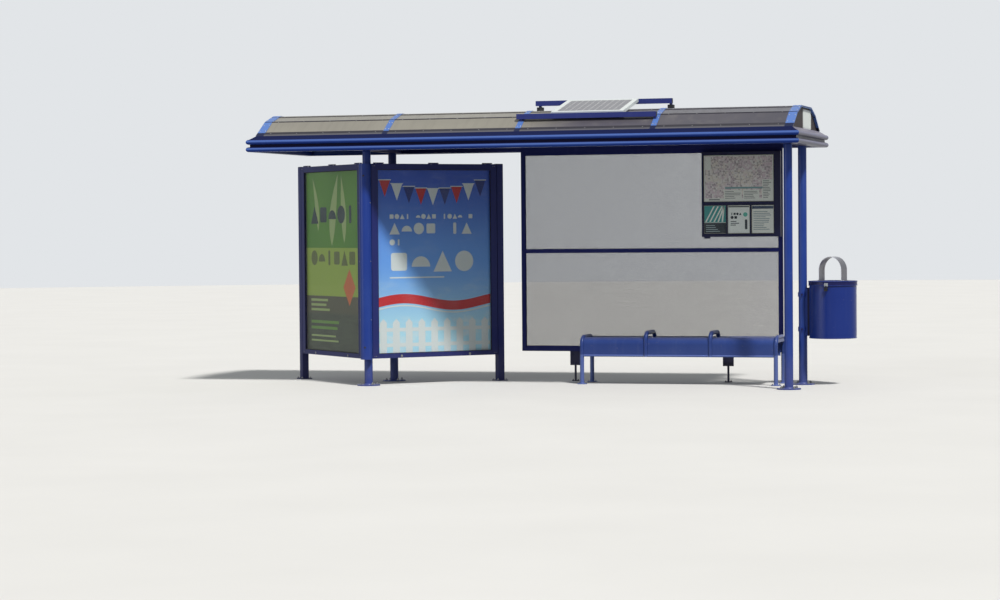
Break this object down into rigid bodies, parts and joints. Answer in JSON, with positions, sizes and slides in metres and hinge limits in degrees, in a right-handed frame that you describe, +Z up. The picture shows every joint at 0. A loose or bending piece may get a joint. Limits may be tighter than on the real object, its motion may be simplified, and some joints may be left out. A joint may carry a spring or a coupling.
{
  "type": "bus shelter",
  "caption": "Open-frame bus shelter: curved panelled roof on round posts, poster cases set in a V with top-hung doors, rear screen, bench, litter bin and solar panel.",
  "frame": {"origin": "ground level, under the middle of the overall box", "axes": "+Z up, -Y towards the street side, +X along the roof towards the bin"},
  "size_m": [5.408, 1.565, 2.5776],
  "materials": {
    "frame_blue": "semi-gloss blue enamel",
    "rib_blue": "gloss lighter blue enamel",
    "roof_smoke": "smoke-tinted glossy sheet",
    "dark_blue": "semi-gloss dark blue enamel",
    "gable_brown": "dull dark brown",
    "screen_blue": "perforated sheet in dark blue",
    "print": "printed sheet",
    "pane": "clear sheet",
    "strap_steel": "brushed",
    "solar": "dark cells in a grey frame"
  },
  "bodies": {
    "shelter": {"front_left_post": "frame_blue", "front_right_post": "frame_blue", "rear_left_post": "frame_blue", "rear_right_post": "frame_blue", "front_fascia": "frame_blue", "rear_fascia": "frame_blue", "left_fascia": "frame_blue", "right_fascia": "frame_blue", "cross_beams": "frame_blue", "screen_header": "frame_blue", "end_ribs": "rib_blue", "middle_ribs": "rib_blue", "roof_panel_1": "roof_smoke", "roof_panel_2": "roof_smoke", "roof_panel_3": "roof_smoke", "roof_panel_4": "roof_smoke", "glazing_bars": "dark_blue", "purlins": "frame_blue", "gable_ends": "gable_brown", "screen_stiles": "dark_blue", "screen_rails": "dark_blue", "screen_upper_sheet": "screen_blue", "screen_lower_sheet": "screen_blue", "screen_feet": "dark_blue", "info_case": "dark_blue", "info_sheets": "print", "bench_seats": "frame_blue", "bench_left_frame": "frame_blue", "bench_right_frame": "frame_blue", "bench_arms": "frame_blue", "bench_rails": "frame_blue", "bin_body": "frame_blue", "bin_lid": "frame_blue", "bin_bracket": "dark_blue", "bin_strap": "strap_steel", "solar_rails": "frame_blue", "solar_panel": "solar", "corner_column": "frame_blue", "case_end_posts": "dark_blue", "left_case": "dark_blue", "right_case": "dark_blue", "left_poster": "print", "right_poster": "print"},
    "left_door": {"left_door_frame": "dark_blue", "left_door_pane": "pane"},
    "right_door": {"right_door_frame": "dark_blue", "right_door_pane": "pane"}
  },
  "joints": [
    {"name": "left_case_door", "type": "hinge", "parent": "shelter", "child": "left_door", "pos_m": [-2.14546, -0.06675, 2.021], "axis": [-0.7071, 0.7071, 0], "range_deg": [0, 80]},
    {"name": "right_case_door", "type": "hinge", "parent": "shelter", "child": "right_door", "pos_m": [-1.13854, -0.06675, 2.021], "axis": [-0.7071, -0.7071, 0], "range_deg": [0, 80]}
  ]
}
